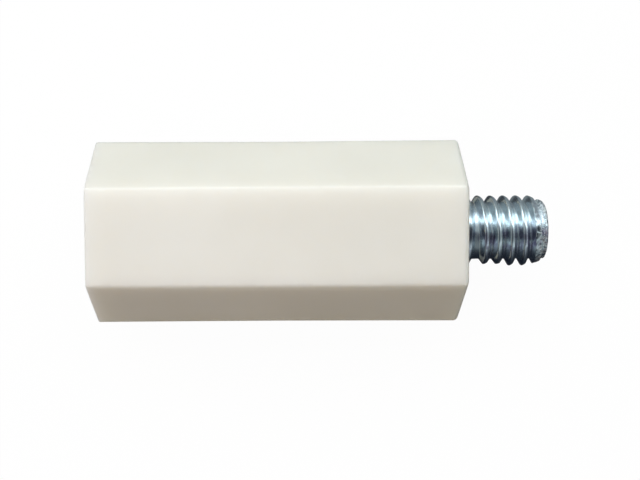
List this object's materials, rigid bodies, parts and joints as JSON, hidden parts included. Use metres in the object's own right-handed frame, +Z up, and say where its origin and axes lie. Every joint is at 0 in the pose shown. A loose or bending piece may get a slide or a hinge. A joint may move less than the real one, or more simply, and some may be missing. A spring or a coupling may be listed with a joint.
{
  "type": "hex standoff",
  "caption": "Hexagonal insulating spacer of moulded plastic, with a threaded steel stud moulded into one end and a tapped steel insert in the other.",
  "frame": {"origin": "on the axis, in the seat round the stud's foot", "axes": "+X along the axis towards the stud's tip; +Z up, across a pair of flats, one of which the part lies on"},
  "size_m": [0.0491, 0.02, 0.0174],
  "materials": {
    "hex_body": "ivory moulded plastic, satin, with slightly rounded edges",
    "threaded_stud": "bright zinc plate with a blue cast over a rolled thread",
    "threaded_insert": "bright zinc plate, turned face and tapped hole"
  },
  "bodies": {
    "root": {"hex_body": "hex_body", "threaded_stud": "threaded_stud", "threaded_insert": "threaded_insert"}
  },
  "joints": []
}
